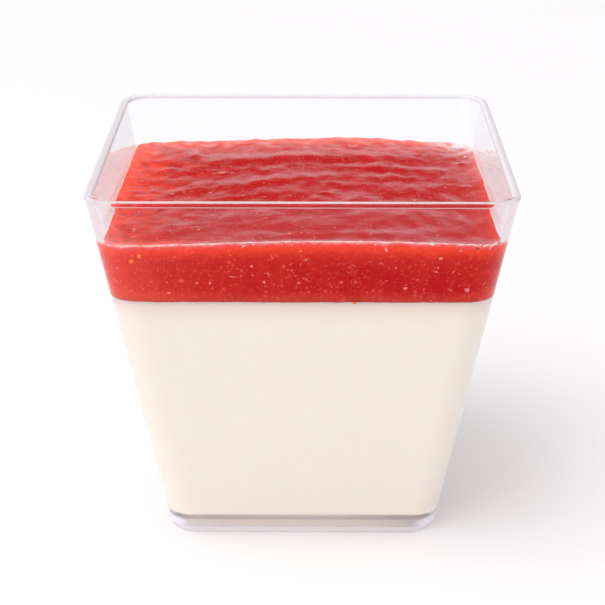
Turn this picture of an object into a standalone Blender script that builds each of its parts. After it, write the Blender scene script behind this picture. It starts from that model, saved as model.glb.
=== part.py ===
"""A strawberry panna cotta in a clear square dessert cup.

The cup is a tapered shell of clear plastic with rounded corners, a thick floor and a small bead
round its rim. Set cream fills it to about two thirds of its height, and a layer of strawberry sauce
lies on the cream, with some free wall above it.

Metres, +Z up. The origin is the middle of the underside.
"""

from math import atan, cos, degrees, exp, hypot, pi, radians, sin, tan

import bmesh
import bpy

# The cup outside. Widths are over the flats of the square.
RIM_WIDTH = 0.0650
BASE_WIDTH = 0.0430
HEIGHT = 0.0603
RIM_CORNER = 0.0055
BASE_CORNER = 0.0044
FOOT_ROUND = 0.0011

# The cup inside.
WALL = 0.00115
FLOOR = 0.0036
FLOOR_ROUND = 0.0010

# The bead round the rim.
BEAD_WIDTH = 0.0013
BEAD_TALL = 0.0008
BEAD_TOP_ROUND = 0.0005
BEAD_LOW_ROUND = 0.00015

# The contents. GAP is the play between two pieces that touch.
GAP = 0.0003
CREAM_TOP = 0.04365
SAUCE_LEVEL = 0.0523
# The sauce wets the front wall higher than the back one.
FRONT_RISE = 0.00085
BACK_RISE = 0.0004
MENISCUS_REACH = 0.0011

# The sauce's broad form: it lies higher towards the front, and is heaped along its middle.
FRONT_LIFT = 0.00045
HEAP = 0.0004
HEAP_SIDE = 0.004

# Low swells left in the sauce by the spoon: height, wavelength, heading in degrees and phase.
SWELLS = (
    (0.00020, 0.019, 98.0, 0.9),
    (0.00012, 0.027, 35.0, 2.1),
    (0.00009, 0.012, 64.0, 4.0),
    (0.00006, 0.0095, 118.0, 1.2),
)

CORNER_STEPS = 7
ROUND_STEPS = 3
SAUCE_CELLS = 26
# How far the sauce's grid lines crowd towards the wall: 0 is even, and under 0.5 they never cross.
CROWDING = 0.36

LEAN = atan((RIM_WIDTH - BASE_WIDTH) / 2 / HEIGHT)


def clear_scene():
    for old in list(bpy.data.objects):
        bpy.data.objects.remove(old, do_unlink=True)


def outer_half(z):
    """Half the cup's outer width at height z."""
    return BASE_WIDTH / 2 + z * tan(LEAN)


def inner_half(z):
    """Half the cup's inner width at height z."""
    return outer_half(z) - WALL / cos(LEAN)


def corner_radius(half, z):
    """The corner radius of a square section of this half width at height z. Corners are concentric."""
    outer = BASE_CORNER + (RIM_CORNER - BASE_CORNER) * z / HEIGHT
    return outer - (outer_half(z) - half)


def arc(centre, radius, start, end, steps=ROUND_STEPS):
    """Points (half, z) along an arc, with its angles in degrees."""
    angles = (radians(start + (end - start) * step / steps) for step in range(steps + 1))
    return [(centre[0] + radius * cos(angle), centre[1] + radius * sin(angle)) for angle in angles]


def foot_arc(wall_half, floor_z, radius):
    """The fillet between a flat floor and a leaning wall, from the floor up to the wall."""
    z = floor_z + radius
    centre = (wall_half(z) - radius / cos(LEAN), z)
    return arc(centre, radius, -90, -degrees(LEAN))


def bead_profile():
    """The rim's bead, from its lower outer edge over the top to its lower inner edge."""
    outer = RIM_WIDTH / 2
    inner = outer - BEAD_WIDTH
    low = HEIGHT - BEAD_TALL
    top_z = HEIGHT - BEAD_TOP_ROUND
    low_z = low + BEAD_LOW_ROUND
    points = arc((outer - BEAD_LOW_ROUND, low_z), BEAD_LOW_ROUND, -90, 0, 2)
    points += arc((outer - BEAD_TOP_ROUND, top_z), BEAD_TOP_ROUND, 0, 90)
    points += arc((inner + BEAD_TOP_ROUND, top_z), BEAD_TOP_ROUND, 90, 180)
    points += arc((inner + BEAD_LOW_ROUND, low_z), BEAD_LOW_ROUND, 180, 270, 2)
    return points


def cup_profile():
    """Half widths and heights from the underside, up outside, over the rim and down inside."""
    wall_top = HEIGHT - BEAD_TALL
    points = foot_arc(outer_half, 0.0, FOOT_ROUND)
    points.append((outer_half(wall_top), wall_top))
    points += bead_profile()
    points.append((inner_half(wall_top), wall_top))
    points += reversed(foot_arc(inner_half, FLOOR, FLOOR_ROUND))
    return points


def contents_half(z):
    """Half the width of what fills the cup at height z, clear of the wall."""
    return inner_half(z) - GAP / cos(LEAN)


def cream_profile():
    """Half widths and heights from the cream's underside up to its flat top."""
    top = CREAM_TOP - GAP / 2
    return foot_arc(contents_half, FLOOR + GAP, FLOOR_ROUND) + [(contents_half(top), top)]


def section_point(place, half, z):
    """The point with this number on a rounded square outline, counted round it from the +X side."""
    quarter, step = divmod(place, CORNER_STEPS + 1)
    radius = corner_radius(half, z)
    middle = (quarter + 0.5) * pi / 2
    angle = (quarter + step / CORNER_STEPS) * pi / 2
    reach = (half - radius) * hypot(1, 1)
    x = reach * cos(middle) + radius * cos(angle)
    y = reach * sin(middle) + radius * sin(angle)
    return (x, y, z)


def loft(bm, profile):
    """A closed body through a rounded square section at each (half, z) of the profile."""
    place = bm.verts.layers.int.new("place")
    points = 4 * (CORNER_STEPS + 1)
    start = bmesh.ops.create_circle(bm, cap_ends=True, segments=points, radius=1.0)["verts"]
    for number, vert in enumerate(start):
        vert[place] = number
        vert.co = section_point(number, *profile[0])
    rim = list(bm.edges)
    for half, z in profile[1:]:
        drawn = bmesh.ops.extrude_edge_only(bm, edges=rim)["geom"]
        for vert in [item for item in drawn if isinstance(item, bmesh.types.BMVert)]:
            vert.co = section_point(vert[place], half, z)
        rim = [item for item in drawn if isinstance(item, bmesh.types.BMEdge)]
    bmesh.ops.contextual_create(bm, geom=rim)


def rounded_square_scale(x, y, z):
    """What to scale a point of the full square by, so that the square gets its rounded corners."""
    half = contents_half(z)
    radius = corner_radius(half, z)
    large = max(abs(x), abs(y))
    small = min(abs(x), abs(y))
    straight = half - radius
    if large == 0 or small * half <= straight * large:
        return 1.0
    # The ray from the centre through the point meets the corner's circle at this distance.
    length = hypot(large, small)
    along = straight * (large + small) / length
    across = straight * (large - small) / length
    reach = along + (radius**2 - across**2) ** 0.5
    return reach / (half * length / large)


def sauce_top(x, y, wall_gap):
    """The height of the sauce's surface. It is drawn up where it wets the wall."""
    half = contents_half(SAUCE_LEVEL)
    front = 0.5 - 0.5 * y / half
    rise = BACK_RISE + (FRONT_RISE - BACK_RISE) * front
    height = SAUCE_LEVEL + rise * exp(-wall_gap / MENISCUS_REACH)
    height += FRONT_LIFT * (2 * front - 1) + HEAP * cos(pi * (x - HEAP_SIDE) / half)
    for swell, wavelength, heading, phase in SWELLS:
        along = x * cos(radians(heading)) + y * sin(radians(heading))
        height += swell * sin(2 * pi * along / wavelength + phase)
    return height


def crowd(place):
    """Moves a grid line's place, from -1 to 1, nearer to the wall."""
    return place * (1 + CROWDING - CROWDING * place**2)


def sauce_mesh(bm):
    """A grid with the sauce's relief, whose rim is drawn down along the wall to the cream."""
    bmesh.ops.create_grid(bm, x_segments=SAUCE_CELLS, y_segments=SAUCE_CELLS, size=1.0)
    half = contents_half(SAUCE_LEVEL)
    for vert in bm.verts:
        x = half * crowd(vert.co.x)
        y = half * crowd(vert.co.y)
        scale = rounded_square_scale(x, y, SAUCE_LEVEL)
        wall_gap = half - max(abs(x), abs(y))
        height = sauce_top(x * scale, y * scale, wall_gap)
        # The wall leans, so what is higher up lies a little further out.
        spread = scale * contents_half(height) / half
        vert.co = (x * spread, y * spread, height)
    rim = [edge for edge in bm.edges if edge.is_boundary]
    drawn = bmesh.ops.extrude_edge_only(bm, edges=rim)["geom"]
    low = CREAM_TOP + GAP / 2
    for vert in [item for item in drawn if isinstance(item, bmesh.types.BMVert)]:
        wide = contents_half(low) / max(abs(vert.co.x), abs(vert.co.y))
        x = vert.co.x * wide
        y = vert.co.y * wide
        scale = rounded_square_scale(x, y, low)
        vert.co = (x * scale, y * scale, low)
    low_edges = [item for item in drawn if isinstance(item, bmesh.types.BMEdge)]
    bmesh.ops.contextual_create(bm, geom=low_edges)


def material(name, colour, roughness, transmission=0.0, ior=1.45):
    """A Principled material. The colour is linear red, green and blue."""
    made = bpy.data.materials.new(name)
    made.use_nodes = True
    shader = made.node_tree.nodes["Principled BSDF"]
    shader.inputs["Base Color"].default_value = (*colour, 1.0)
    shader.inputs["Roughness"].default_value = roughness
    shader.inputs["Metallic"].default_value = 0.0
    shader.inputs["Transmission Weight"].default_value = transmission
    shader.inputs["IOR"].default_value = ior
    return made


def add_object(name, bm, made_of, smooth_angle):
    """Turns the mesh into an object, faces out, shaded smooth except over sharp edges."""
    bmesh.ops.recalc_face_normals(bm, faces=bm.faces)
    mesh = bpy.data.meshes.new(name)
    bm.to_mesh(mesh)
    bm.free()
    mesh.shade_smooth()
    mesh.set_sharp_from_angle(angle=radians(smooth_angle))
    mesh.materials.append(made_of)
    made = bpy.data.objects.new(name, mesh)
    bpy.context.scene.collection.objects.link(made)
    return made


def make_cup():
    """The clear plastic cup."""
    bm = bmesh.new()
    loft(bm, cup_profile())
    clear = material("clear_plastic", (0.97, 0.98, 1.0), 0.03, transmission=1.0, ior=1.59)
    return add_object("cup", bm, clear, 50)


def make_panna_cotta():
    """The set cream, from the cup's floor to the sauce."""
    bm = bmesh.new()
    loft(bm, cream_profile())
    cream = material("set_cream", (0.90, 0.81, 0.69), 0.30)
    return add_object("panna_cotta", bm, cream, 50)


def make_strawberry_sauce():
    """The layer of sauce, from the cream to its free surface."""
    bm = bmesh.new()
    sauce_mesh(bm)
    sauce = material("strawberry_sauce", (0.56, 0.02, 0.02), 0.15)
    return add_object("strawberry_sauce", bm, sauce, 50)


def main():
    clear_scene()
    make_cup()
    make_panna_cotta()
    make_strawberry_sauce()


if __name__ == "__main__":
    main()
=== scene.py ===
"""The looks of one panna cotta: set cream under strawberry sauce in a clear square cup.

Run it as a script in Blender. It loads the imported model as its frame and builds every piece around
it with operators, whose sizes and colours can be changed in the 3D view's sidebar.
"""

import random
from math import atan, cos, degrees, exp, hypot, pi, radians, sin, tan

import bmesh
import bpy
from mathutils import Matrix, Vector, noise


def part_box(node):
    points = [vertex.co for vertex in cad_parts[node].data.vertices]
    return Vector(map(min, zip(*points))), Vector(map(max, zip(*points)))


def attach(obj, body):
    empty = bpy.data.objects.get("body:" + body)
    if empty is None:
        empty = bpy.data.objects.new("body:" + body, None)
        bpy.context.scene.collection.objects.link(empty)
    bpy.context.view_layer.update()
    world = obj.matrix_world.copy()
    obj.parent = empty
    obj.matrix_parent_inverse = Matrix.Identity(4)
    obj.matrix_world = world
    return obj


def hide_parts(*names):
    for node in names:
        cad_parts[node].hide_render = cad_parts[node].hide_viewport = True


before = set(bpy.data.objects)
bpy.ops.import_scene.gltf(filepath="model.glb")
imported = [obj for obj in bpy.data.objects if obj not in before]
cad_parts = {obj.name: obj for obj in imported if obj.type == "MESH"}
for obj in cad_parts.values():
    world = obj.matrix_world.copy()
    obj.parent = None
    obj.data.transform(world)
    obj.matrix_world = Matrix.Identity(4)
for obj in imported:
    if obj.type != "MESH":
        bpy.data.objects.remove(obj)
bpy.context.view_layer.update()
CUP_LOW, CUP_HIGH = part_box("cup")
CREAM_LOW, CREAM_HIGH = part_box("panna_cotta")

bl_info = {
    "name": "Panna cotta in a clear cup",
    "version": (1, 0, 0),
    "blender": (4, 5, 0),
    "location": "View3D > Sidebar > Dessert",
    "description": "Builds a strawberry panna cotta in a clear square cup",
    "category": "Object",
}

MM = 0.001
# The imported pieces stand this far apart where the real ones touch.
CAD_GAP = 0.3 * MM
# Where cream and sauce meet. The sauce sinks a little into the cream, so no gap shows.
BORDER = CREAM_HIGH.z + CAD_GAP / 2
SAUCE_LOW = BORDER - 0.1 * MM


# ---------------------------------------------------------------- settings


def length(name, description, millimetres):
    """A size given in millimetres, kept in metres and shown in the scene's own unit."""
    return bpy.props.FloatProperty(
        name=name, description=description, default=millimetres * MM, unit="LENGTH", precision=5
    )


def number(name, description, default):
    return bpy.props.FloatProperty(name=name, description=description, default=default)


def angle(name, description, default):
    """An angle, given in degrees."""
    return bpy.props.FloatProperty(
        name=name, description=description, default=radians(default), subtype="ANGLE"
    )


def count(name, description, default):
    return bpy.props.IntProperty(name=name, description=description, default=default, min=0)


def linear(hex_colour):
    """A colour written as sRGB hex, such as "F4E6D2", turned to linear red, green and blue."""
    channels = [int(hex_colour[place : place + 2], 16) / 255 for place in (0, 2, 4)]
    return [c / 12.92 if c <= 0.04045 else ((c + 0.055) / 1.055) ** 2.4 for c in channels]


def colour(name, description, hex_colour):
    return bpy.props.FloatVectorProperty(
        name=name,
        description=description,
        default=linear(hex_colour),
        subtype="COLOR",
        size=3,
        min=0.0,
        max=1.0,
    )


class CupSettings(bpy.types.PropertyGroup):
    base_width: length("Base width", "Outer width at the table", 43.0)
    wall: length("Wall", "Thickness of the wall", 1.15)
    floor: length("Floor", "Thickness of the clear floor", 3.6)
    rim_corner: length("Rim corner", "Outer corner radius at the rim", 5.5)
    base_corner: length("Base corner", "Outer corner radius at the table", 4.4)
    foot_round: length("Foot round", "Radius of the edge round the underside", 1.1)
    floor_round: length("Floor round", "Radius between the inner floor and the wall", 1.0)
    bead_width: length("Bead width", "Width of the rim's bead", 1.3)
    bead_tall: length("Bead height", "Height of the rim's bead", 0.8)
    bead_top_round: length("Bead top round", "Radius over the bead's top edges", 0.55)
    bead_low_round: length("Bead low round", "Radius under the bead's edges", 0.15)
    tint: colour("Tint", "Colour of the clear plastic", "FCFDFF")
    # Painted shade: the grey that tints light mirrored inside the front corners.
    depth: colour("Depth", "Colour of light mirrored inside the front corners", "EADBDF")
    # Painted light: the grey the side rims are painted with for the light they gather, and another
    # grey along their inner edge.
    rim: colour("Rim", "Colour that the side rims gather", "D9D4D8")
    rim_line_light: colour("Rim line", "Colour along the side rims' inner edge", "E4E5EA")
    # How strongly a side wall seen edge on is painted white, as painted light.
    veil: number("Veil", "How pale a side wall looks edge on", 0.7)
    # Painted shade and light: the dark line under the cream, and the pale foot and its corner
    # glints.
    floor_shade_line: colour("Floor line", "Colour of the line under the cream", "8A7A80")
    foot: colour("Foot", "Colour that the foot and its corners gather", "EEECF8")


class CreamSettings(bpy.types.PropertyGroup):
    body: colour("Cream", "Colour of the set cream", "FAEBDF")
    # The cream is drawn pinker and a little darker over its top few millimetres, towards the sauce.
    bleed: colour("Bleed", "Colour where the sauce's juice has soaked in", "E8D0C8")
    bleed_depth: length("Bleed depth", "How far the juice has soaked in", 6.5)


class SauceSettings(bpy.types.PropertyGroup):
    level: length("Level", "Mean height of the sauce's surface over the table", 52.3)
    front_rise: length("Front rise", "How far the sauce is drawn up the front wall", 0.85)
    back_rise: length("Back rise", "How far the sauce is drawn up the back wall", 0.4)
    reach: length("Meniscus reach", "How far from the wall the rise reaches", 1.1)
    front_lift: length("Front lift", "How much higher the sauce lies at the front", 0.45)
    heap: length("Heap", "How much the sauce is heaped along its middle", 0.4)
    heap_side: length("Heap side", "How far right of the middle the heap lies", 4.0)
    ragged: length("Ragged edge", "How uneven the border with the cream is", 0.16)
    cells: count("Cells", "Cells across the sauce's surface", 220)
    gloss: number("Gloss", "Gloss of the sauce's free surface", 0.54)
    deep: colour("Deep", "Colour of the thick sauce", "C2060E")
    bright: colour("Bright", "Colour where light glows through the sauce", "F4462A")
    # Partly the colour of a real thin film of sauce, partly painted highlight where light shines
    # through it.
    film_and_highlight: colour("Film", "Colour of the thin film at the wall", "FADADA")
    speck: colour("Speck", "Colour of the finest specks of pulp", "FA6C56")


class FleckSettings(bpy.types.PropertyGroup):
    seed: count("Seed", "Number that the scatter of fine grains starts from", 7)
    per_side: count("Grains per side", "Fine grains on each side of the sauce", 330)
    border_bits: count("Border bits", "Pale bits along each side's border with the cream", 110)
    contact_bits: count("Contact bits", "Pale bits along the front's upper edge", 45)
    on_top: count("Grains on top", "Fine grains on the sauce's surface", 700)


class BubbleSettings(bpy.types.PropertyGroup):
    width: length("Width", "Width of the air bubble", 0.75)
    side: length("Side", "How far right of the middle the bubble is", 23.5)
    height: length("Height", "Height of the bubble over the table", 52.5)
    # Painted light: the sauce seen through the bubble and the pale reflection at its edge.
    middle: colour("Middle", "Colour of the sauce seen through the bubble", "F0603C")
    edge: colour("Edge", "Colour of the bubble's edge", "FFE4E2")


class StageSettings(bpy.types.PropertyGroup):
    lens: number("Lens", "Focal length in millimetres on a 36 mm sensor", 104.9)
    distance: length("Distance", "From the camera to the point it looks at", 296.9)
    elevation: angle("Elevation", "How far the camera looks down", 20.98)
    turn: angle("Turn", "How far the camera stands to the right of the front", 0.351)
    aim_height: length("Aim height", "Height of the point looked at", 32.38)
    aim_side: length("Aim side", "How far right of the middle that point is", -0.09)
    table: colour("Table", "Colour of the table", "F4F2F4")
    # Painted light: the board under the cup glows, though no lamp is there.
    table_glow: number("Table glow", "How brightly the board under the cup is lit", 0.33)
    gap: colour("Gap", "Colour of the dim gap above the backdrop", "5E5A5C")
    gap_low: number("Gap low", "Sine of the height at which the dim gap starts", 0.13)
    surroundings: number("Surroundings", "Brightness of the white surroundings", 0.76)
    key: number("Key light", "Power of the soft light on the left, in watts", 24.3)
    key_size: length("Key size", "Width of the soft light on the left", 1800)
    fill: number("Fill light", "Power of the soft light in front, in watts", 4.0)


SETTINGS = {
    "clear_cup": CupSettings,
    "set_cream": CreamSettings,
    "fruit_sauce": SauceSettings,
    "fruit_flecks": FleckSettings,
    "air_bubble": BubbleSettings,
    "studio_stage": StageSettings,
}


# ---------------------------------------------------------------- the cup's form

# Low swells left in the sauce by the spoon: height and wavelength in millimetres, heading in
# degrees and phase.
SWELLS = (
    (0.03, 16.5, 97.0, 1.6),
    (0.06, 27, 35.0, 2.1),
    (0.025, 12, 64.0, 4.0),
    (0.02, 9.5, 118.0, 1.2),
)
# Low ridges the spoon left: middle (x, y) in millimetres, heading in degrees, then half length,
# half width and height in millimetres.
RIDGES = (
    ((-2, 18.6), 2, 22, 3.0, 0.30),
    ((-4, 4.4), 19, 9, 2.3, 0.32),
    ((12, 12.2), -4, 9, 1.8, 0.18),
    ((18, 6.2), -5, 8, 1.5, 0.09),
    ((11, 1.6), -4, 8, 1.3, 0.05),
    ((-15, 11.5), 8, 5, 0.8, 0.05),
    ((-9, -4), 10, 6, 0.8, 0.05),
    ((-18, -18), 14, 5, 1.0, 0.05),
    ((4, -24), 3, 12, 1.5, 0.10),
)
# Soft lumps of pulp under the surface: middle (x, y), half width and height in millimetres.
LUMPS = (
    ((-13.7, 9.7), 0.7, 0.16),
    ((-28.0, -1.2), 1.0, 0.14),
    ((-26.5, -3.9), 0.9, 0.12),
    ((3.5, -3.7), 0.8, 0.15),
    ((18.0, -6.3), 0.5, 0.10),
    ((7.1, 26.0), 0.9, 0.18),
    ((20.0, 20.9), 0.8, 0.16),
    ((27.3, 16.0), 0.9, 0.18),
    ((27.0, 1.4), 0.8, 0.16),
    ((-23.0, 13.0), 1.1, 0.18),
    ((-19.0, 21.0), 1.2, 0.16),
)
# How far the sauce's grid lines crowd towards the wall: 0 is even, and under 0.5 they never cross.
CROWDING = 0.36
# Edges that keep a flat wall flat next to a rounded edge stand this far from it.
SUPPORT = 0.35 * MM
BEAD_SUPPORT = 0.06 * MM
# Steps round each corner, round each fillet or wide edge, and round the bead's small edge.
CORNER_STEPS = 18
ROUND_STEPS = 8
SMALL_STEPS = 4
# Where each flat side has a point near its ends, as a share of its length.
SIDE_PLACES = (0.015, 0.985)


class Taper:
    """The cup's tapered, rounded square form, worked out from its settings and the frame."""

    def __init__(self, cup):
        self.cup = cup
        self.height = CUP_HIGH.z
        self.rim_half = CUP_HIGH.x
        self.lean = atan((self.rim_half - cup.base_width / 2) / self.height)

    def outer_half(self, z):
        return self.cup.base_width / 2 + z * tan(self.lean)

    def inner_half(self, z):
        return self.outer_half(z) - self.cup.wall / cos(self.lean)

    def corner_radius(self, half, z):
        """The corner radius of a square section of this half width. Corners are concentric."""
        growth = self.cup.rim_corner - self.cup.base_corner
        outer = self.cup.base_corner + growth * z / self.height
        return outer - (self.outer_half(z) - half)

    def outline(self, half, z):
        """Points round a rounded square: each corner's arc, then the side after it."""
        radius = self.corner_radius(half, z)
        straight = half - radius
        points = []
        for quarter in range(4):
            turn = Matrix.Rotation(quarter * pi / 2, 3, "Z")
            for step in range(CORNER_STEPS + 1):
                bend = step / CORNER_STEPS * pi / 2
                x = straight + radius * cos(bend)
                y = straight + radius * sin(bend)
                points.append(turn @ Vector((x, y, z)))
            for place in SIDE_PLACES:
                points.append(turn @ Vector((straight * (1 - 2 * place), half, z)))
        return points

    def foot_arc(self, half_at, floor_z, radius):
        """The fillet between a flat floor and a leaning wall, from the floor up to the wall."""
        z = floor_z + radius
        centre = (half_at(z) - radius / cos(self.lean), z)
        return arc(centre, radius, -90, -degrees(self.lean))


def arc(centre, radius, start, end, steps=ROUND_STEPS):
    """Points (half, z) along an arc, with its angles in degrees."""
    bends = (radians(start + (end - start) * step / steps) for step in range(steps + 1))
    return [(centre[0] + radius * cos(bend), centre[1] + radius * sin(bend)) for bend in bends]


def verts_of(drawn):
    return [item for item in drawn["geom"] if isinstance(item, bmesh.types.BMVert)]


def edges_of(drawn):
    return [item for item in drawn["geom"] if isinstance(item, bmesh.types.BMEdge)]


def order_faces(bm):
    """Turns the faces outwards and puts them in a set order, which extruding doesn't keep."""
    bmesh.ops.recalc_face_normals(bm, faces=bm.faces)
    ordered = sorted(bm.faces, key=lambda face: tuple(face.calc_center_median()))
    for index, face in enumerate(ordered):
        face.index = index
    bm.faces.sort()


def loft(taper, profile):
    """A closed body drawn from a capped outline through each (half, z) of the profile."""
    bm = bmesh.new()
    place = bm.verts.layers.int.new("place")
    first = taper.outline(*profile[0])
    start = bmesh.ops.create_circle(bm, cap_ends=True, segments=len(first), radius=1.0)
    for index, vert in enumerate(start["verts"]):
        vert[place] = index
        vert.co = first[index]
    rim = list(bm.edges)
    for half, z in profile[1:]:
        points = taper.outline(half, z)
        drawn = bmesh.ops.extrude_edge_only(bm, edges=rim)
        for vert in verts_of(drawn):
            vert.co = points[vert[place]]
        rim = edges_of(drawn)
    bmesh.ops.contextual_create(bm, geom=rim)
    order_faces(bm)
    return bm


def add_object(name, bm, materials):
    """Makes the mesh an object in the scene."""
    mesh = bpy.data.meshes.new(name)
    bm.to_mesh(mesh)
    bm.free()
    for made_of in materials:
        mesh.materials.append(made_of)
    made = bpy.data.objects.new(name, mesh)
    bpy.context.scene.collection.objects.link(made)
    return made


def finish_piece(name, bm, materials, replaced=None, sharp=180):
    """Makes the mesh a smooth piece of the dessert and ties it to the frame."""
    piece = add_object(name, bm, materials)
    piece.data.shade_smooth()
    piece.data.set_sharp_from_angle(angle=radians(sharp))
    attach(piece, "root")
    if replaced:
        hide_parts(replaced)


# ---------------------------------------------------------------- materials


def add(tree, kind, inputs=None, **settings):
    """Adds a node with its settings. An input given a node or a socket is linked to it."""
    node = tree.nodes.new("ShaderNode" + kind)
    for key, value in settings.items():
        setattr(node, key, value)
    for key, value in (inputs or {}).items():
        if isinstance(value, bpy.types.Node):
            value = next(socket for socket in value.outputs if socket.enabled)
        if isinstance(value, bpy.types.NodeSocket):
            tree.links.new(value, node.inputs[key])
        else:
            node.inputs[key].default_value = value
    return node


def material(surface, *settings, name=None):
    """A material named for its surface, whose function adds its shader to the node tree."""
    made = bpy.data.materials.new(name or surface.__name__)
    made.use_nodes = True
    tree = made.node_tree
    tree.nodes.clear()
    add(tree, "OutputMaterial", {"Surface": surface(tree, *settings)})
    return made


def rgba(three):
    return (*three, 1.0)


WHITE = (1.0, 1.0, 1.0, 1.0)


def soft_mask(tree, most, *edges):
    """A mask, at most this strong, inside all its soft edges.

    An edge is what to measure, where it lets nothing through and where it lets all through.
    """
    mask = None
    for value, none_at, all_at in edges:
        step = add(
            tree,
            "MapRange",
            {"Value": value, "From Min": none_at, "From Max": all_at, "To Max": most},
            interpolation_type="SMOOTHSTEP",
        )
        both = {0: mask, 1: step}
        mask = step if mask is None else add(tree, "Math", both, operation="MULTIPLY")
        most = 1.0
    return mask


def layer(tree, shader, share, tint):
    """A painted light or shade: a pale or dark veil of this colour over a shader, as thick as share
    says.
    """
    veil = add(tree, "BsdfDiffuse", {"Color": tint})
    return add(tree, "MixShader", {0: share, 1: shader, 2: veil})


# How thick the painted shade and light are that draw what the thick floor bends into sight.
FLOOR_SHADE_SHARE = 0.36
FOOT_LIGHT_SHARE = 0.5


def floor_light_and_shade(tree, shader, axes, across, cup):
    """Painted shade and light for what the thick floor bends into sight: a dark line, a pale foot
    and bright corner glints.
    """
    height = axes.outputs["Z"]
    along = add(tree, "Math", {0: axes.outputs["Y"]}, operation="ABSOLUTE")
    line = soft_mask(
        tree, FLOOR_SHADE_SHARE, (height, 2.9 * MM, 3.2 * MM), (height, 3.9 * MM, 3.6 * MM)
    )
    shader = layer(tree, shader, line, rgba(cup.floor_shade_line))
    foot = soft_mask(
        tree, FOOT_LIGHT_SHARE, (height, 0.5 * MM, 0.75 * MM), (height, 1.7 * MM, 1.3 * MM)
    )
    shader = layer(tree, shader, foot, rgba(cup.foot))
    glint = soft_mask(
        tree,
        1.0,
        (across, 17.5 * MM, 20.5 * MM),
        (along, 16.5 * MM, 19.5 * MM),
        (height, 0.8 * MM, 1.8 * MM),
        (height, 3.4 * MM, 2.4 * MM),
    )
    return layer(tree, shader, glint, rgba(cup.foot))


def moulded_polystyrene(tree, cup):
    """Crystal clear moulded polystyrene: a hard gloss and hardly any tint, with pale side rims and
    walls in painted light.
    """
    glass = add(
        tree,
        "BsdfPrincipled",
        {
            "Base Color": rgba(cup.tint),
            "Roughness": 0.0,
            "IOR": 1.59,
            "Specular Tint": (0.2, 0.2, 0.2, 1.0),
            "Transmission Weight": 1.0,
        },
    )
    place = add(tree, "TexCoord")
    axes = add(tree, "SeparateXYZ", {0: place.outputs["Object"]})
    # A side wall seen edge on is painted pale, painted light for the light it gathers, and so are
    # the rims that are seen along their length. Those have a painted line of another grey inside.
    turned = add(tree, "LayerWeight", {"Blend": 0.5})
    edge_on_light = soft_mask(tree, cup.veil, (turned.outputs["Facing"], 0.8, 0.95))
    shader = layer(tree, glass, edge_on_light, WHITE)
    across = add(tree, "Math", {0: axes.outputs["X"]}, operation="ABSOLUTE")
    shader = floor_light_and_shade(tree, shader, axes, across, cup)
    inner = CUP_HIGH.x - cup.bead_width
    inside = soft_mask(tree, 1.0, (across, inner + 0.55 * MM, inner + 0.25 * MM))
    rim_light_tones = {0: inside, 6: rgba(cup.rim), 7: rgba(cup.rim_line_light)}
    rim_light_tone = add(tree, "Mix", rim_light_tones, data_type="RGBA")
    pale = add(tree, "Attribute", attribute_name="pale")
    shader = layer(tree, shader, pale.outputs["Fac"], rim_light_tone)
    clear = add(tree, "BsdfTransparent", {"Color": rgba(cup.tint)})
    # The front corners are thick to look through, and the light they mirror inside is tinted a
    # little greyer than the rest, a painted shade.
    front = soft_mask(
        tree,
        1.0,
        (axes.outputs["Y"], -18 * MM, -24 * MM),
        (axes.outputs["Z"], 20 * MM, 40 * MM),
    )
    painted_corner_shade = add(
        tree, "Mix", {0: front, 6: rgba(cup.tint), 7: rgba(cup.depth)}, data_type="RGBA"
    )
    mirrored = add(tree, "BsdfTransparent", {"Color": painted_corner_shade})
    path = add(tree, "LightPath")
    # Light goes straight through to the food and the table, which bent rays would leave dark,
    # and what the wall has mirrored inside itself once leaves it, as it does round a real edge.
    for kind, through in (
        ("Is Reflection Ray", mirrored),
        ("Is Diffuse Ray", clear),
        ("Is Shadow Ray", clear),
    ):
        shader = add(tree, "MixShader", {0: path.outputs[kind], 1: shader, 2: through})
    return shader


# How sharply the pink tint fades with depth below the sauce.
BLEED_FALL = 3.6


def set_dairy_cream(tree, cream):
    """Gelatine-set dairy cream: smooth, dense and ivory, with light that spreads inside it."""
    place = add(tree, "TexCoord")
    axes = add(tree, "SeparateXYZ", {0: place.outputs["Object"]})
    reached = add(
        tree,
        "MapRange",
        {
            "Value": axes.outputs["Z"],
            "From Min": CREAM_HIGH.z - cream.bleed_depth,
            "From Max": CREAM_HIGH.z,
        },
    )
    soaked = add(tree, "Math", {0: reached, 1: BLEED_FALL}, operation="POWER")
    tint = add(
        tree, "Mix", {0: soaked, 6: rgba(cream.body), 7: rgba(cream.bleed)}, data_type="RGBA"
    )
    return add(
        tree,
        "BsdfPrincipled",
        {
            "Base Color": tint,
            "Roughness": 0.5,
            "IOR": 1.40,
            "Specular IOR Level": 0.1,
            "Subsurface Weight": 1.0,
            "Subsurface Radius": (1.0, 0.75, 0.5),
            "Subsurface Scale": 1.0 * MM,
        },
    )


# How pale the finest specks are.
SPECK_SHARE = 0.6


def dots(tree, place, cell, rare):
    """Soft pale dots in the cells of this size whose chance tops rare."""
    cells = add(tree, "TexVoronoi", {"Vector": place, "Scale": 1 / cell})
    pick = add(tree, "SeparateColor", {0: cells.outputs["Color"]})
    return soft_mask(
        tree,
        SPECK_SHARE,
        (cells.outputs["Distance"], 0.42, 0.1),
        (pick.outputs[0], rare, 1.0),
    )


def fine_specks(tree, place):
    """How pale the puree is here: close dots 0.25 mm wide and scattered ones of 0.45 mm.

    The finest pulp in the real puree is too small to show, so it is drawn as coarse as this.
    """
    close = dots(tree, place, 0.5 * MM, 0.3)
    scattered = dots(tree, place, 0.9 * MM, 0.7)
    return add(tree, "Math", {0: close, 1: scattered}, operation="MAXIMUM")


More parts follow.
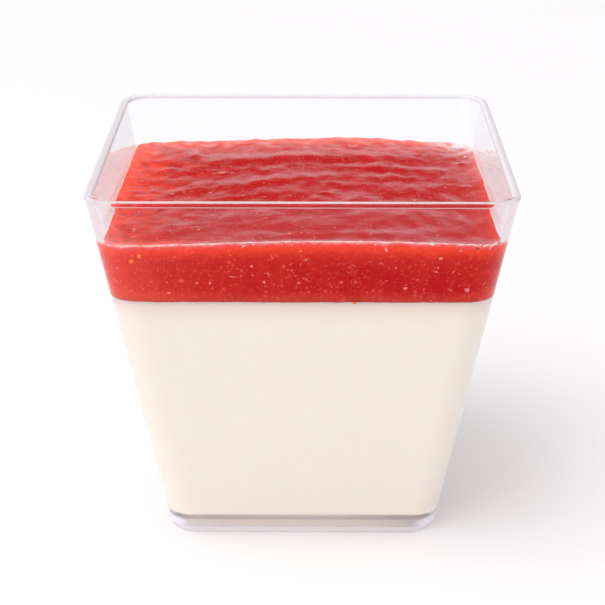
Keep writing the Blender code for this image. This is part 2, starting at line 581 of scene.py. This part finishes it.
def strawberry_puree(tree, sauce, gloss):
    """Sieved strawberry puree: wet gloss, a deep red body that glows orange where light enters."""
    place = add(tree, "TexCoord").outputs["Object"]
    glow = add(tree, "Attribute", attribute_name="glow").outputs["Fac"]
    film_and_highlight = add(tree, "Attribute", attribute_name="film_and_highlight").outputs["Fac"]
    # Clouds about 3 mm wide and pulp about 0.5 mm wide make the glow uneven.
    cloud = add(tree, "TexNoise", {"Vector": place, "Scale": 0.3 / MM, "Detail": 4.0})
    pulp = add(tree, "TexNoise", {"Vector": place, "Scale": 1.8 / MM, "Detail": 2.0})
    blend = add(tree, "Math", {0: pulp, 1: 0.6, 2: cloud}, operation="MULTIPLY_ADD")
    uneven = add(tree, "Math", {0: blend, 1: 0.5, 2: -0.4}, operation="MULTIPLY_ADD")
    # Painted light: the glow attribute paints the orange of light shining through the sauce into its
    # colour.
    lit = add(tree, "Math", {0: glow, 1: uneven}, operation="ADD", use_clamp=True)
    body = {0: lit, 6: rgba(sauce.deep), 7: rgba(sauce.bright)}
    tint = add(tree, "Mix", body, data_type="RGBA")
    for share, laid_over in ((fine_specks(tree, place), sauce.speck), (film_and_highlight, sauce.film_and_highlight)):
        tint = add(tree, "Mix", {0: share, 6: tint, 7: rgba(laid_over)}, data_type="RGBA")
    # The surface has a low grain about 1 mm wide.
    grain = add(tree, "TexNoise", {"Vector": place, "Scale": 1.1 / MM, "Detail": 3.0})
    bump = add(tree, "Bump", {"Height": grain, "Strength": 0.2, "Distance": 0.1 * MM})
    shine = 0.0
    if gloss > 0:
        # Where light glows up through the sauce, its gloss is veiled.
        veiled = {0: glow, 1: -1.5 * gloss, 2: gloss}
        shine = add(tree, "Math", veiled, operation="MULTIPLY_ADD", use_clamp=True)
    return add(
        tree,
        "BsdfPrincipled",
        {
            "Base Color": tint,
            "Roughness": 0.19,
            "IOR": 1.40,
            "Specular IOR Level": shine,
            "Subsurface Weight": 1.0,
            "Subsurface Radius": (1.0, 0.2, 0.15),
            "Subsurface Scale": 1.4 * MM,
            "Normal": bump,
        },
    )


def painted_board(tree, stage):
    """A matt painted board: a plain pale surface with no gloss, which glows under the cup as painted
    light from below.
    """
    place = add(tree, "TexCoord")
    reach = add(tree, "VectorMath", {0: place.outputs["Object"]}, operation="LENGTH")
    glow = soft_mask(tree, stage.table_glow, (reach.outputs["Value"], 22 * MM, 15 * MM))
    return add(
        tree,
        "BsdfPrincipled",
        {
            "Base Color": rgba(stage.table),
            "Roughness": 0.9,
            "Specular IOR Level": 0.1,
            "Emission Color": rgba(stage.table),
            "Emission Strength": glow,
        },
    )


# ---------------------------------------------------------------- pieces


def bead_profile(taper):
    """The rim's bead, from its lower outer edge over the top to its inner edge."""
    cup = taper.cup
    outer = taper.rim_half
    inner = outer - cup.bead_width
    low_z = taper.height - cup.bead_tall + cup.bead_low_round
    top_z = taper.height - cup.bead_top_round
    low = cup.bead_low_round
    top = cup.bead_top_round
    points = arc((outer - low, low_z), low, -90, 0, SMALL_STEPS)
    points += arc((outer - top, top_z), top, 0, 90)
    points += arc((inner + top, top_z), top, 90, 180)
    return points


def cup_profile(taper):
    """Half widths and heights from the underside, up outside, over the rim and down inside."""
    cup = taper.cup
    wall_top = taper.height - cup.bead_tall
    foot = taper.foot_arc(taper.outer_half, 0.0, cup.foot_round)
    well = taper.foot_arc(taper.inner_half, cup.floor, cup.floor_round)
    points = [(foot[0][0] - SUPPORT, 0.0)] + foot
    for z in (cup.foot_round + SUPPORT, wall_top - BEAD_SUPPORT, wall_top):
        points.append((taper.outer_half(z), z))
    points += bead_profile(taper)
    for z in (wall_top, wall_top - BEAD_SUPPORT, cup.floor + cup.floor_round + SUPPORT):
        points.append((taper.inner_half(z), z))
    points += well[::-1] + [(well[0][0] - SUPPORT, cup.floor)]
    return points


# How pale the bead is painted with the light it gathers at the sides and at the back, and how far
# that painted light reaches round the back and the front corners, as a share of CORNER_FADE.
SIDE_RIM_LIGHT = 0.95
BACK_RIM_LIGHT = 0.5
BACK_REACH = 0.5
FRONT_REACH = 0.2
CORNER_FADE = 4 * MM


def painted_rim_light(taper, place):
    """How pale the rim's bead is painted with light here: most at the sides, less at the back, and
    clear in front.
    """
    if place.z < taper.height - taper.cup.bead_tall + taper.cup.bead_low_round / 2:
        return 0.0
    least, reach = (BACK_RIM_LIGHT, BACK_REACH) if place.y > 0 else (0.0, FRONT_REACH)
    turned = (abs(place.x) - abs(place.y)) / CORNER_FADE + reach
    return max(least, SIDE_RIM_LIGHT * max(0.0, min(1.0, turned)))


class DESSERT_OT_mould_cup(bpy.types.Operator):
    """Mould the clear square cup with its thick floor and beaded rim"""

    bl_idname = "dessert.mould_cup"
    bl_label = "Mould cup"

    def execute(self, context):
        taper = Taper(context.scene.clear_cup)
        bm = loft(taper, cup_profile(taper))
        # The "pale" attribute holds how much painted light the bead shows.
        pale = bm.verts.layers.float.new("pale")
        for vert in bm.verts:
            vert[pale] = painted_rim_light(taper, vert.co)
        plastic = material(moulded_polystyrene, taper.cup)
        finish_piece("clear_cup", bm, [plastic], "cup")
        return {"FINISHED"}


# The food reaches this far into the wall, so that no air shows between them.
SAUCE_WETTING = 0.07 * MM
CREAM_WETTING = 0.03 * MM


def cream_profile(taper, top):
    """Half widths and heights from the cream's underside up to its top."""
    cup = taper.cup

    def half_at(z):
        return taper.inner_half(z) + CREAM_WETTING

    foot = taper.foot_arc(half_at, cup.floor - CREAM_WETTING, cup.floor_round)
    points = [(foot[0][0] - SUPPORT, cup.floor - CREAM_WETTING)] + foot
    for z in (cup.floor + cup.floor_round + SUPPORT, top - 4 * SUPPORT, top - SUPPORT, top):
        points.append((half_at(z), z))
    return points


class DESSERT_OT_set_cream(bpy.types.Operator):
    """Fill the cup with set cream up to the sauce"""

    bl_idname = "dessert.set_cream"
    bl_label = "Set cream"

    def execute(self, context):
        taper = Taper(context.scene.clear_cup)
        bm = loft(taper, cream_profile(taper, BORDER))
        dairy = material(set_dairy_cream, context.scene.set_cream)
        finish_piece("set_cream", bm, [dairy], "panna_cotta", 60)
        return {"FINISHED"}


def fade(gap, reach, power=1):
    """1 at no gap, then less over a reach in millimetres. A high power makes it abrupt."""
    return exp(-((gap / (reach * MM)) ** power))


def ragged_edge(place, size):
    """How far the border between cream and sauce strays at this place."""
    broad = noise.noise(place / (6.0 * MM))
    fine = noise.noise(place / (0.9 * MM))
    return size * (0.8 * broad + 0.6 * fine)


def crease(x, y):
    """A fine raised line wherever a soft noise crosses zero, as where a skin has wrinkled."""
    wander = noise.noise(Vector((x / (4.2 * MM), y / (3.4 * MM), 21.0)))
    present = noise.noise(Vector((x / (9.0 * MM), y / (9.0 * MM), 5.5)))
    return exp(-((wander / 0.07) ** 2)) * max(0.0, min(1.0, 0.5 + 2.5 * present))


def sauce_relief(x, y):
    """The fine relief of the sauce's surface: ridges, lumps and pulp over the spoon's swells."""
    broad = Vector((x / (2.2 * MM), y / (4.0 * MM), 3.7))
    small = Vector((x / (0.9 * MM), y / (1.6 * MM), 8.1))
    height = 0.17 * MM * noise.noise(broad) + 0.04 * MM * noise.noise(small)
    height += 0.015 * MM * crease(x, y)
    # The back, which was poured last, is rougher.
    height *= 0.85 + 0.3 * y / CUP_HIGH.y
    for middle, heading, long, wide, tall in RIDGES:
        turned = (Vector((x, y)) - Vector(middle) * MM) @ Matrix.Rotation(radians(heading), 2)
        bell = exp(-((turned.x / (long * MM)) ** 2 + (turned.y / (wide * MM)) ** 2))
        height += tall * MM * bell
    for middle, wide, tall in LUMPS:
        gap = hypot(x - middle[0] * MM, y - middle[1] * MM)
        height += tall * MM * fade(gap, wide, 2)
    return height


def sauce_top(sauce, half, x, y, wall_gap):
    """The height of the sauce's surface. It is drawn up where it wets the wall."""
    front = 0.5 - 0.5 * y / half
    rise = sauce.back_rise + (sauce.front_rise - sauce.back_rise) * front
    height = sauce.level + rise * exp(-wall_gap / sauce.reach)
    height += sauce.front_lift * (2 * front - 1)
    height += sauce.heap * cos(pi * (x - sauce.heap_side) / half)
    for swell, wavelength, heading, phase in SWELLS:
        along = x * cos(radians(heading)) + y * sin(radians(heading))
        height += swell * MM * sin(2 * pi * along / (wavelength * MM) + phase)
    return height + sauce_relief(x, y)


def crowd(place):
    """Moves a grid line's place, from -1 to 1, nearer to the wall."""
    return place * (1 + CROWDING - CROWDING * place**2)


def rounded_square(taper, half, z, x, y):
    """A point of the full square, drawn in so that the square gets its rounded corners."""
    radius = taper.corner_radius(half, z)
    large = max(abs(x), abs(y))
    small = min(abs(x), abs(y))
    straight = half - radius
    if large == 0 or small * half <= straight * large:
        return Vector((x, y, z))
    # The ray from the centre through the point meets the corner's circle at this distance.
    ray = hypot(large, small)
    along = straight * (large + small) / ray
    across = straight * (large - small) / ray
    reach = along + (radius**2 - across**2) ** 0.5
    scale = reach / (half * ray / large)
    return Vector((x * scale, y * scale, z))


def left_share(x):
    """0 in the middle of the cup and 1 by its left wall."""
    return max(0.0, min(1.0, (-x - 10 * MM) / (10 * MM)))


def mottle(x, y, size):
    """Soft noise, within 1 either way, whose blotches are this many millimetres wide."""
    return noise.noise(Vector((x, y, 0.0)) / (size * MM))


def glow_on_top(half, x, y):
    """How much light the sauce's surface holds: most by the left and the back wall."""
    back_share = 0.5 + 0.5 * y / half
    uneven = 1 + 0.9 * mottle(x, y, 2.6)
    mottled = 1 + 0.7 * mottle(x, y, 1.5)
    left_reach = (6.2 + 1.4 * back_share) * uneven
    left = (0.62 + 0.25 * back_share) * mottled * fade(max(0.0, half + x), left_reach, 1.5)
    right = 0.4 * fade(half - x, 2.5)
    back = 1.1 * fade(half - y, 3.4 * uneven)
    front = 0.75 * left_share(x) * fade(half + y, 4.8, 4)
    return max(left, right, back, front)


def glow_down_the_side(half, place, depth, above_cream):
    """How much light the sauce's side holds: most a little way down, and by the left wall."""
    under = 0.8 / (1 + (depth / (1.9 * MM)) ** 4) + 0.32 * fade(depth, 3.0)
    under *= 1 - 0.8 * fade(depth, 0.75, 2)
    # Light from the next face enters round a corner, so the glow fades away from the corners.
    left = 0.85 * fade(max(0.0, 2 * half + place.x - abs(place.y)), 9.0)
    right = 0.5 * fade(max(0.0, 2 * half - place.x - abs(place.y)), 2.5)
    border = 0.4 * fade(above_cream, 0.3)
    return max(left, right, under) + border


def broken(place):
    """The breaks in the pale film and its painted highlight along the wall, fine ones on broad ones.
    """
    return 0.9 + 0.9 * noise.noise(place / (0.5 * MM)) + 0.5 * noise.noise(place / (2.5 * MM))


def film_and_highlight_on_top(half, place, wall_gap):
    """How much pale film shows, a real thin film with painted highlight on it: a line along the
    front wall, a veil by the back and the sides.
    """
    left = left_share(place.x)
    front_gap = half + place.y
    front = (1 - 0.5 * left) * fade(front_gap, 0.5) + 0.15 * fade(front_gap, 1.1)
    climb = 0.16 * left * fade(front_gap, 3.8, 4)
    back_share = 0.5 + 0.5 * place.y / half
    uneven = 1 + 1.2 * mottle(place.x, place.y, 1.8)
    back = 0.21 * uneven * fade(half - place.y, 7.0, 2)
    right_gap = half - place.x
    sides = 0.22 * back_share**3 * fade(wall_gap, 3.0)
    sides += 0.25 * uneven * back_share**3 * fade(right_gap, 3.5)
    sides += 0.8 * uneven * fade(hypot(right_gap, half - place.y), 5.5, 2)
    sides += 0.2 * uneven * (1 - back_share) ** 2 * fade(half + place.x, 1.8)
    return broken(place) * max(front, climb) + max(back, sides)


def film_and_highlight_down_the_side(half, place, depth, above_cream):
    """How much pale film shows at the wall, with painted light: a bright edge where light shines
    through the thin film, a haze of painted light by the left, and a haze by the cream.
    """
    edge = broken(place) * fade(depth, 0.25) + 0.03 * fade(depth, 0.8)
    haze = 0.06 * fade(max(0.0, 2 * half + place.x - abs(place.y)), 6.0)
    return edge + haze + 0.03 * fade(above_cream, 0.3)


# How far down the side each ring of the sauce lies. They crowd by its upper edge.
RING_SHARES = (
    0.01, 0.02, 0.035, 0.05, 0.07, 0.1, 0.14, 0.2, 0.28, 0.38, 0.5, 0.64, 0.8, 1.0
)


def pour_sauce(taper, sauce, low):
    """A fine grid with the sauce's relief, whose rim is drawn down along the wall to the cream."""
    bm = bmesh.new()
    bmesh.ops.create_grid(bm, x_segments=sauce.cells, y_segments=sauce.cells, size=1.0)
    film_and_highlight = bm.verts.layers.float.new("film_and_highlight")
    glow = bm.verts.layers.float.new("glow")
    column = bm.verts.layers.int.new("column")
    level_half = taper.inner_half(sauce.level) + SAUCE_WETTING
    columns = []
    for vert in bm.verts:
        across = crowd(vert.co.x)
        along = crowd(vert.co.y)
        flat = rounded_square(
            taper, level_half, sauce.level, across * level_half, along * level_half
        )
        wall_gap = level_half * (1 - max(abs(across), abs(along)))
        height = sauce_top(sauce, level_half, flat.x, flat.y, wall_gap)
        # The wall leans, so what is higher up lies a little further out.
        half = taper.inner_half(height) + SAUCE_WETTING
        vert.co = rounded_square(taper, half, height, across * half, along * half)
        vert[film_and_highlight] = film_and_highlight_on_top(half, vert.co, wall_gap)
        vert[glow] = glow_on_top(level_half, flat.x, flat.y)
        if vert.is_boundary:
            vert[column] = len(columns)
            columns.append((across, along, height))
    rim = [edge for edge in bm.edges if edge.is_boundary]
    for share in RING_SHARES:
        drawn = bmesh.ops.extrude_edge_only(bm, edges=rim)
        for side in [item for item in drawn["geom"] if isinstance(item, bmesh.types.BMFace)]:
            side.material_index = 1
        for vert in verts_of(drawn):
            across, along, top = columns[vert[column]]
            z = top + (low - top) * share
            if share == 1.0:
                z += ragged_edge(Vector((across, along, 0.0)) * level_half, sauce.ragged)
            half = taper.inner_half(z) + SAUCE_WETTING
            vert.co = rounded_square(taper, half, z, across * half, along * half)
            vert[film_and_highlight] = film_and_highlight_down_the_side(half, vert.co, top - z, z - low)
            vert[glow] = glow_down_the_side(half, vert.co, top - z, z - low)
        rim = edges_of(drawn)
    bmesh.ops.contextual_create(bm, geom=rim)
    order_faces(bm)
    return bm


class DESSERT_OT_pour_sauce(bpy.types.Operator):
    """Pour the layer of strawberry sauce over the cream"""

    bl_idname = "dessert.pour_sauce"
    bl_label = "Pour sauce"

    def execute(self, context):
        sauce = context.scene.fruit_sauce
        taper = Taper(context.scene.clear_cup)
        bm = pour_sauce(taper, sauce, SAUCE_LOW)
        # What lies against the wall is wetted by it, so it has no gloss of its own.
        puree = [
            material(strawberry_puree, sauce, sauce.gloss),
            material(strawberry_puree, sauce, 0.0, name="puree_on_the_wall"),
        ]
        finish_piece("fruit_sauce", bm, puree, "strawberry_sauce")
        return {"FINISHED"}


# The larger flecks at the front wall: across, height, width, tallness, tilt in degrees, tone.
FRONT_FLECKS = (
    (-25.4, 50.5, 0.75, 0.75, 0, "orange"),
    (-24.2, 51.4, 0.8, 0.8, 0, "orange"),
    (-0.2, 52.3, 0.7, 0.35, 35, "orange"),
    (12.5, 52.5, 0.45, 0.9, 5, "peach"),
    (-8.7, 53.1, 0.6, 0.3, 20, "white"),
    (-7.5, 49.7, 0.55, 0.35, 0, "peach"),
    (-5.7, 47.0, 0.55, 0.4, 0, "peach"),
    (-13.8, 46.8, 0.35, 0.35, 0, "peach"),
    (-0.5, 46.9, 0.4, 0.4, 0, "peach"),
    (15.5, 46.0, 0.6, 0.4, 0, "peach"),
    (24.8, 45.7, 0.7, 0.8, 20, "rose"),
    (20.7, 51.1, 0.8, 0.45, -10, "peach"),
    (-27.4, 49.2, 0.5, 0.25, 40, "peach"),
    (-20.0, 45.1, 0.6, 0.35, 0, "peach"),
    (20.1, 48.8, 0.35, 0.3, 0, "peach"),
    (22.3, 45.7, 0.3, 0.3, 0, "peach"),
    (9.8, 45.3, 0.3, 0.25, 0, "peach"),
    (0.7, 47.4, 0.3, 0.25, 0, "peach"),
    (0.6, 50.8, 0.3, 0.25, 0, "peach"),
    (-5.1, 48.5, 0.3, 0.25, 0, "peach"),
    (-10.7, 51.6, 0.5, 0.2, 15, "orange"),
    (27.2, 46.6, 0.9, 0.15, 50, "peach"),
    (-27.9, 46.8, 0.9, 0.15, -45, "peach"),
    (-18.1, 47.2, 0.9, 0.8, 0, "bright"),
    (7.9, 43.4, 0.6, 0.35, 0, "orange"),
    (25.8, 43.8, 0.8, 0.3, 35, "red"),
    # Painted shade and highlights: the dark fleck and the thin pale streaks by the right front
    # corner, where the sauce's edge wrinkles.
    (26.1, 52.7, 0.35, 0.35, 0, "dark"),
    (19.3, 53.5, 0.9, 0.4, 0, "white"),
    (28.4, 53.2, 1.4, 0.14, 30, "white"),
    (27.9, 52.8, 0.9, 0.12, 50, "white"),
    (29.0, 52.6, 0.8, 0.12, 60, "rose"),
    (25.0, 53.4, 1.0, 0.14, 8, "white"),
)
# The larger flecks on top: across, along, width, depth, tilt in degrees, tone.
TOP_FLECKS = (
    (-19.6, -0.6, 0.6, 0.5, 0, "orange"),
    (-15.9, -20.6, 0.7, 0.6, 0, "orange"),
    (-1.9, -23.9, 0.7, 0.6, 0, "orange"),
    (-13.7, 9.7, 1.1, 0.9, 10, "rose"),
    (18.0, -6.3, 0.6, 0.5, 0, "peach"),
    (-6.0, -4.8, 1.6, 0.25, 20, "rose"),
    (3.5, -3.7, 1.1, 0.9, 0, "red"),
    (7.1, 26.0, 1.2, 1.0, 0, "bright"),
    (20.0, 20.9, 1.1, 1.0, 0, "bright"),
    (27.3, 16.0, 1.1, 1.0, 0, "red"),
    (27.0, 1.4, 1.0, 0.9, 0, "red"),
    (-25.5, -23.6, 1.3, 0.3, 25, "rose"),
    # Painted highlights: pale flecks where the wet back right corner catches the light.
    (25.7, 25.3, 0.8, 0.5, 0, "white"),
    (27.5, 24.5, 0.7, 0.5, 0, "white"),
    (28.3, 20.9, 0.5, 0.8, 0, "white"),
)
TONES = {
    "orange": "FF7E3A",
    "peach": "F48C7A",
    "rose": "EC7672",
    "white": "FFDCD4",
    "bright": "EA4A36",
    "red": "C02A26",
    "dark": "6A1618",
    "fine peach": "EC8270",
    "fine rose": "E46C66",
    "fine red": "DA5448",
    "cream": "E89A8C",
}


class Flecks:
    """Joined grains of fruit, each coloured by its own tone."""

    def __init__(self, taper, sauce):
        self.taper = taper
        self.sauce = sauce
        self.bm = bmesh.new()
        self.tone = self.bm.verts.layers.float_color.new("tone")

    def add_grain(self, place, size, tone, fine):
        """One flattened round grain. size holds its three full widths."""
        shape = place @ Matrix.Diagonal((*[width / 2 for width in size], 1.0))
        made = bmesh.ops.create_icosphere(self.bm, subdivisions=1 if fine else 3, radius=1.0)
        for vert in made["verts"]:
            uneven = 1 + 0.45 * noise.noise(vert.co * 1.2 + place.translation / MM)
            vert.co = shape @ (vert.co * uneven)
            vert[self.tone] = rgba(linear(TONES[tone]))

    def at_wall(self, side, across, z, size, tilt, tone, fine=False):
        """A grain against the inside of a wall. Sides count from the front, round to the right."""
        half = self.taper.inner_half(z)
        radius = self.taper.corner_radius(half, z)
        straight = half - radius
        bend = max(0.0, (abs(across) - straight) / radius)
        bend = -bend if across < 0 else bend
        x = max(-straight, min(straight, across)) + radius * sin(bend)
        y = -(straight + radius * cos(bend))
        place = Matrix.Rotation(side * pi / 2, 4, "Z") @ Matrix.Translation((x, y, z))
        place = place @ Matrix.Rotation(bend, 4, "Z") @ Matrix.Rotation(self.taper.lean, 4, "X")
        place = place @ Matrix.Rotation(radians(tilt), 4, "Y")
        self.add_grain(place, (size[0], WALL_GRAIN_DEPTH, size[1]), tone, fine)

    def contact_height(self, across):
        """How high the sauce reaches on the front wall."""
        half = self.taper.inner_half(self.sauce.level)
        return sauce_top(self.sauce, half, across, -half, 0.0)

    def on_top(self, x, y, size, tilt, tone, fine=False):
        """A grain just breaking the sauce's surface."""
        half = self.taper.inner_half(self.sauce.level)
        wall_gap = half - max(abs(x), abs(y))
        z = sauce_top(self.sauce, half, x, y, wall_gap)
        thick = 0.35 * min(size)
        place = Matrix.Translation((x, y, z - 0.2 * thick)) @ Matrix.Rotation(radians(tilt), 4, "Z")
        self.add_grain(place, (*size, thick), tone, fine)


# Half of this is let into the wall, deeper than the sauce, so that grains at the wall show.
WALL_GRAIN_DEPTH = 0.28 * MM
# Scattered grains on a side keep this far from its ends.
GRAIN_MARGIN = 1.5 * MM


def scatter_walls(flecks, fruit, dice):
    """Fine grains over the sauce's four sides, and pale bits along its border with the cream."""
    for side in range(4):
        for _ in range(fruit.per_side):
            z = BORDER + (flecks.sauce.level - BORDER) * dice.uniform(0.02, 0.9)
            reach = flecks.taper.inner_half(z) - GRAIN_MARGIN
            width = min(0.21 * MM * exp(dice.gauss(0.0, 0.42)), 0.6 * MM)
            size = (width, width * dice.uniform(0.4, 1.0))
            if dice.random() < 0.2:
                size = (2.2 * width, 0.4 * width)
            tone = dice.choice(("fine peach", "fine rose", "fine red"))
            across = dice.uniform(-reach, reach)
            flecks.at_wall(side, across, z, size, dice.uniform(-60, 60), tone, True)
        for _ in range(fruit.border_bits):
            z = BORDER + dice.gauss(-0.05 * MM, 0.15 * MM)
            reach = flecks.taper.inner_half(z) - GRAIN_MARGIN
            width = dice.uniform(0.1 * MM, 0.3 * MM)
            across = dice.uniform(-reach, reach)
            flecks.at_wall(side, across, z, (width, 0.6 * width), 0.0, "cream", True)


def scatter_contact(flecks, fruit, dice):
    """Pale bits along the sauce's upper edge at the front wall."""
    reach = flecks.taper.inner_half(flecks.sauce.level)
    for _ in range(fruit.contact_bits):
        across = dice.uniform(-reach, reach)
        z = flecks.contact_height(across) - abs(dice.gauss(0.2 * MM, 0.25 * MM))
        width = dice.uniform(0.15 * MM, 0.4 * MM)
        flecks.at_wall(0, across, z, (width, 0.6 * width), 0.0, "white", True)


def scatter_top(flecks, fruit, dice):
    """Fine grains over the sauce's surface."""
    reach = flecks.taper.inner_half(flecks.sauce.level) - 2 * MM
    for _ in range(fruit.on_top):
        width = min(0.3 * MM * exp(dice.gauss(0.0, 0.4)), 0.9 * MM)
        size = (width, width * dice.uniform(0.6, 1.0))
        tone = dice.choice(("peach", "fine peach", "fine rose", "fine red", "bright"))
        x = dice.uniform(-reach, reach)
        y = dice.uniform(-reach, reach)
        flecks.on_top(x, y, size, dice.uniform(0, 180), tone, True)


def fruit_grain(tree):
    """Wet grains of strawberry: seeds, pulp and fibre in their own tones, softly lit through."""
    tone = add(tree, "Attribute", attribute_name="tone")
    wet = {"Roughness": 0.3, "IOR": 1.40, "Specular IOR Level": 0.2}
    return add(tree, "BsdfPrincipled", {"Base Color": tone.outputs["Color"], **wet})


class DESSERT_OT_scatter_flecks(bpy.types.Operator):
    """Scatter grains, pulp and fibres of strawberry through the sauce's faces, with a few painted
    highlights and shade
    """

    bl_idname = "dessert.scatter_flecks"
    bl_label = "Scatter flecks"

    def execute(self, context):
        fruit = context.scene.fruit_flecks
        dice = random.Random(fruit.seed)
        flecks = Flecks(Taper(context.scene.clear_cup), context.scene.fruit_sauce)
        for across, z, width, tall, tilt, tone in FRONT_FLECKS:
            flecks.at_wall(0, across * MM, z * MM, (width * MM, tall * MM), -tilt, tone)
        for x, y, width, depth, tilt, tone in TOP_FLECKS:
            flecks.on_top(x * MM, y * MM, (width * MM, depth * MM), tilt, tone)
        scatter_walls(flecks, fruit, dice)
        scatter_contact(flecks, fruit, dice)
        scatter_top(flecks, fruit, dice)
        finish_piece("fruit_flecks", flecks.bm, [material(fruit_grain)])
        return {"FINISHED"}


def bubble_painted_sheen(tree, bubble):
    """The skin of an air bubble in painted light: a pale painted reflection where it turns away,
    orange where the sauce shows through.
    """
    turned = add(tree, "LayerWeight", {"Blend": 0.35}).outputs["Facing"]
    tones = {0: turned, 6: rgba(bubble.middle), 7: rgba(bubble.edge)}
    tint = add(tree, "Mix", tones, data_type="RGBA")
    return add(tree, "BsdfPrincipled", {"Base Color": tint, "Roughness": 0.1, "IOR": 1.40})


class DESSERT_OT_trap_bubble(bpy.types.Operator):
    """Trap a small air bubble at the front wall, near the right corner"""

    bl_idname = "dessert.trap_bubble"
    bl_label = "Trap bubble"

    def execute(self, context):
        bubble = context.scene.air_bubble
        taper = Taper(context.scene.clear_cup)
        radius = bubble.width / 2
        y = -taper.inner_half(bubble.height) + radius - WALL_GRAIN_DEPTH / 2
        bm = bmesh.new()
        bmesh.ops.create_icosphere(
            bm,
            subdivisions=4,
            radius=radius,
            matrix=Matrix.Translation((bubble.side, y, bubble.height)),
        )
        skin = material(bubble_painted_sheen, bubble)
        finish_piece("air_bubble", bm, [skin])
        return {"FINISHED"}


# ---------------------------------------------------------------- stage


def sky(world, stage):
    """Soft studio surroundings: white all round, with a dim gap behind that gloss mirrors."""
    world.use_nodes = True
    tree = world.node_tree
    tree.nodes.clear()
    place = add(tree, "TexCoord")
    way = add(tree, "SeparateXYZ", {0: place.outputs["Generated"]})
    behind = soft_mask(
        tree,
        1.0,
        (way.outputs["Y"], 0.15, 0.5),
        (way.outputs["Z"], stage.gap_low, stage.gap_low + 0.22),
        (way.outputs["Z"], 0.80, 0.62),
    )
    path = add(tree, "LightPath")
    gap = behind
    for kind in ("Is Glossy Ray", "Is Reflection Ray"):
        gap = add(tree, "Math", {0: gap, 1: path.outputs[kind]}, operation="MULTIPLY")
    shade = add(tree, "Mix", {0: gap, 6: WHITE, 7: rgba(stage.gap)}, data_type="RGBA")
    light = add(tree, "Background", {"Color": shade, "Strength": stage.surroundings})
    add(tree, "OutputWorld", {"Surface": light})


def stand(name, data, position, way):
    """Stands a lamp or a camera at this position, looking this way."""
    made = bpy.data.objects.new(name, data)
    made.location = position
    made.rotation_euler = way.to_track_quat("-Z", "Y").to_euler()
    bpy.context.scene.collection.objects.link(made)
    return made


# The height over the table that the soft lights look at.
LIT_HEIGHT = 30 * MM


def add_softbox(name, position, size, power):
    """A square soft light that looks at the dessert."""
    lamp = bpy.data.lights.new(name, "AREA")
    lamp.shape = "SQUARE"
    lamp.size = size
    lamp.energy = power
    way = Vector((0.0, 0.0, LIT_HEIGHT)) - Vector(position)
    stand(name, lamp, position, way).visible_camera = False


def add_camera(stage):
    """The camera looks down on the front of the cup through a long lens."""
    side = Vector((cos(stage.turn), sin(stage.turn), 0.0))
    aim = side * stage.aim_side + Vector((0.0, 0.0, stage.aim_height))
    flat = cos(stage.elevation)
    away = Vector((sin(stage.turn) * flat, -cos(stage.turn) * flat, sin(stage.elevation)))
    lens = bpy.data.cameras.new("camera")
    lens.lens = stage.lens
    lens.sensor_width = 36.0
    lens.clip_start = 10 * MM
    camera = stand("camera", lens, aim + away * stage.distance, -away)
    bpy.context.scene.camera = camera


class DESSERT_OT_set_stage(bpy.types.Operator):
    """Set out the pale table, the soft studio light and the camera"""

    bl_idname = "dessert.set_stage"
    bl_label = "Set stage"

    def execute(self, context):
        stage = context.scene.studio_stage
        bm = bmesh.new()
        bmesh.ops.create_grid(bm, x_segments=2, y_segments=2, size=2.5)
        # The table lies a hair under the cup, whose clear underside would flicker on it.
        bmesh.ops.translate(bm, verts=bm.verts, vec=(0.0, 0.0, -0.1 * MM))
        add_object("table", bm, [material(painted_board, stage)])
        world = bpy.data.worlds.new("studio")
        context.scene.world = world
        sky(world, stage)
        add_softbox("key_light", (-0.8, -0.5, 2.0), stage.key_size, stage.key)
        add_softbox("front_fill", (-1.3, -1.5, 0.5), 1.0, stage.fill)
        add_camera(stage)
        context.scene.view_settings.view_transform = "Standard"
        return {"FINISHED"}


class DESSERT_PT_panel(bpy.types.Panel):
    """Lists every piece of the dessert"""

    bl_idname = "DESSERT_PT_panel"
    bl_label = "Panna cotta"
    bl_space_type = "VIEW_3D"
    bl_region_type = "UI"
    bl_category = "Dessert"

    def draw(self, context):
        for group, settings in SETTINGS.items():
            box = self.layout.box()
            box.label(text=group.replace("_", " ").capitalize())
            for name in settings.__annotations__:
                box.prop(getattr(context.scene, group), name)
        for operator in OPERATORS:
            self.layout.operator(operator.bl_idname)


OPERATORS = (
    DESSERT_OT_mould_cup,
    DESSERT_OT_set_cream,
    DESSERT_OT_pour_sauce,
    DESSERT_OT_scatter_flecks,
    DESSERT_OT_trap_bubble,
    DESSERT_OT_set_stage,
)


def register():
    for made in (*SETTINGS.values(), *OPERATORS, DESSERT_PT_panel):
        bpy.utils.register_class(made)
    for name, settings in SETTINGS.items():
        setattr(bpy.types.Scene, name, bpy.props.PointerProperty(type=settings))


def unregister():
    for name in SETTINGS:
        delattr(bpy.types.Scene, name)
    for made in reversed((*SETTINGS.values(), *OPERATORS, DESSERT_PT_panel)):
        bpy.utils.unregister_class(made)


def main():
    register()
    bpy.ops.dessert.mould_cup()
    bpy.ops.dessert.set_cream()
    bpy.ops.dessert.pour_sauce()
    bpy.ops.dessert.scatter_flecks()
    bpy.ops.dessert.trap_bubble()
    bpy.ops.dessert.set_stage()


if __name__ == "__main__":
    main()
